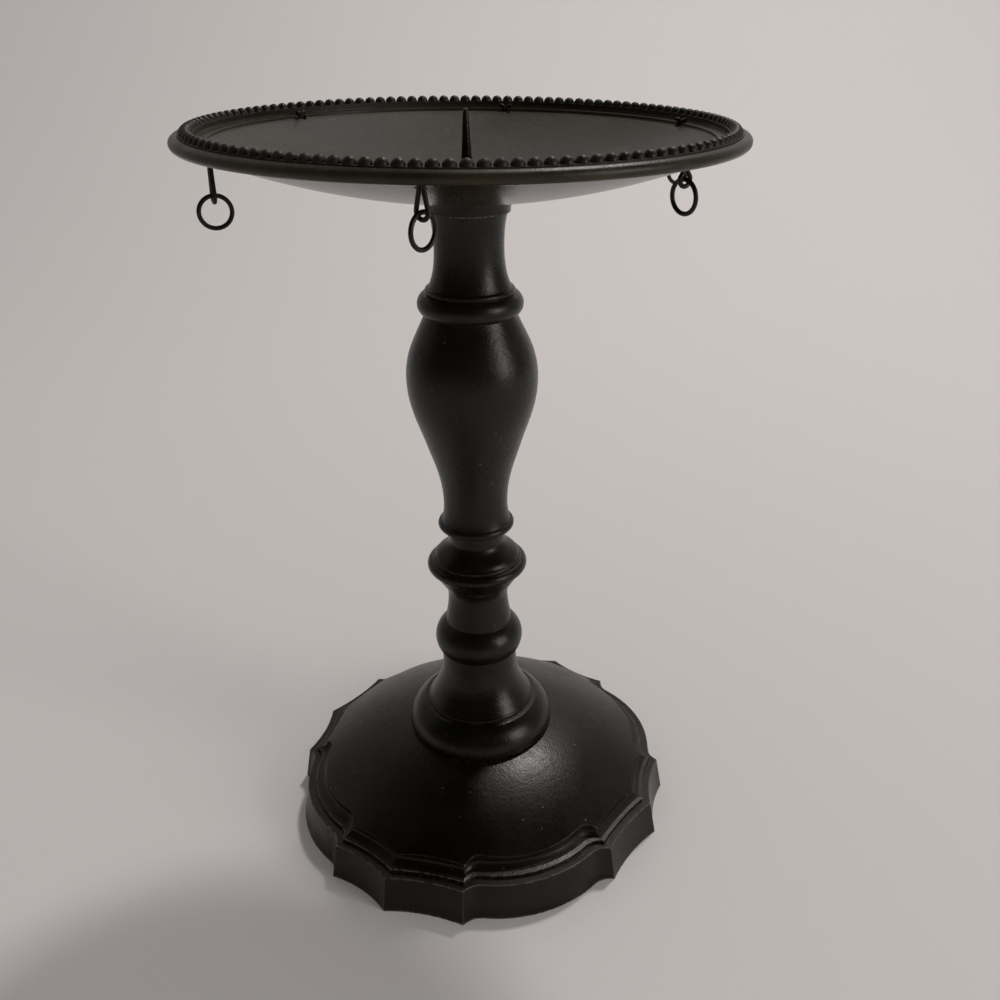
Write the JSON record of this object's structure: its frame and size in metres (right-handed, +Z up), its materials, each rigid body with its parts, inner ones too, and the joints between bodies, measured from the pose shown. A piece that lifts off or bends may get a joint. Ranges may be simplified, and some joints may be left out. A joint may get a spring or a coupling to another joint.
{
  "type": "pillar candle holder",
  "caption": "Pricket candle holder with a scalloped domed base, a turned baluster column, a beaded drip pan and loose wire rings hung under its rim.",
  "frame": {"origin": "on the table, under the middle of the base", "axes": "+Z up along the column; +X to the right and +Y away from the viewer in the picture"},
  "size_m": [0.1118, 0.1118, 0.1681],
  "materials": {
    "dark_bronze": "satin, oil-rubbed dark bronze",
    "pan_bronze": "satin, dark bronze, worn greyer on the pan's floor",
    "wire": "satin black-brown wire",
    "plain_steel": "zinc-plated"
  },
  "bodies": {
    "stand": {"base": "dark_bronze", "foot_bell": "dark_bronze", "lower_ball": "dark_bronze", "ringed_knop": "dark_bronze", "vase": "dark_bronze", "capital": "dark_bronze", "drip_pan": "pan_bronze", "bead_band": "dark_bronze", "spike": "dark_bronze", "tie_rod": "plain_steel", "base_washer": "plain_steel", "base_nut": "plain_steel"},
    "hanger_1": {"hanger_1": "wire"},
    "ring_1": {"ring_1": "wire"},
    "hanger_2": {"hanger_2": "wire"},
    "ring_2": {"ring_2": "wire"},
    "hanger_3": {"hanger_3": "wire"},
    "ring_3": {"ring_3": "wire"},
    "hanger_4": {"hanger_4": "wire"},
    "ring_4": {"ring_4": "wire"},
    "hanger_5": {"hanger_5": "wire"},
    "ring_5": {"ring_5": "wire"},
    "hanger_6": {"hanger_6": "wire"},
    "ring_6": {"ring_6": "wire"}
  },
  "joints": [
    {"name": "hanger_1_swivel", "type": "hinge", "parent": "stand", "child": "hanger_1", "pos_m": [0.04634, 0.01742, 0.1635], "axis": [0, 0, 1], "range_deg": [-47, 23]},
    {"name": "ring_1_swing", "type": "hinge", "parent": "hanger_1", "child": "ring_1", "pos_m": [0.04634, 0.01742, 0.1566], "axis": [0.8425, 0.5388, 0], "range_deg": [-90, 90]},
    {"name": "hanger_2_swivel", "type": "hinge", "parent": "stand", "child": "hanger_2", "pos_m": [0.0097, 0.04854, 0.1635], "axis": [0, 0, 1], "range_deg": [-25, 45]},
    {"name": "ring_2_swing", "type": "hinge", "parent": "hanger_2", "child": "ring_2", "pos_m": [0.0097, 0.04854, 0.1558], "axis": [0.3633, 0.9317, 0], "range_deg": [-95, 95]},
    {"name": "hanger_3_swivel", "type": "hinge", "parent": "stand", "child": "hanger_3", "pos_m": [-0.03679, 0.03312, 0.1635], "axis": [0, 0, 1], "range_deg": [-55, 15]},
    {"name": "ring_3_swing", "type": "hinge", "parent": "hanger_3", "child": "ring_3", "pos_m": [-0.03679, 0.03312, 0.1574], "axis": [-0.9272, 0.3746, 0], "range_deg": [-85, 85]},
    {"name": "hanger_4_swivel", "type": "hinge", "parent": "stand", "child": "hanger_4", "pos_m": [-0.04606, -0.01814, 0.1635], "axis": [0, 0, 1], "range_deg": [-35, 35]},
    {"name": "ring_4_swing", "type": "hinge", "parent": "hanger_4", "child": "ring_4", "pos_m": [-0.04606, -0.01814, 0.1548], "axis": [-0.9304, -0.3665, 0], "range_deg": [-100, 100]},
    {"name": "hanger_5_swivel", "type": "hinge", "parent": "stand", "child": "hanger_5", "pos_m": [-0.00715, -0.04898, 0.1635], "axis": [0, 0, 1], "range_deg": [-5, 65]},
    {"name": "ring_5_swing", "type": "hinge", "parent": "hanger_5", "child": "ring_5", "pos_m": [-0.00715, -0.04898, 0.15735], "axis": [-0.6198, -0.7848, 0], "range_deg": [-85, 85]},
    {"name": "hanger_6_swivel", "type": "hinge", "parent": "stand", "child": "hanger_6", "pos_m": [0.03764, -0.03215, 0.1635], "axis": [0, 0, 1], "range_deg": [-18, 52]},
    {"name": "ring_6_swing", "type": "hinge", "parent": "hanger_6", "child": "ring_6", "pos_m": [0.03764, -0.03215, 0.1594], "axis": [0.5373, -0.8434, 0], "range_deg": [-70, 70]}
  ]
}
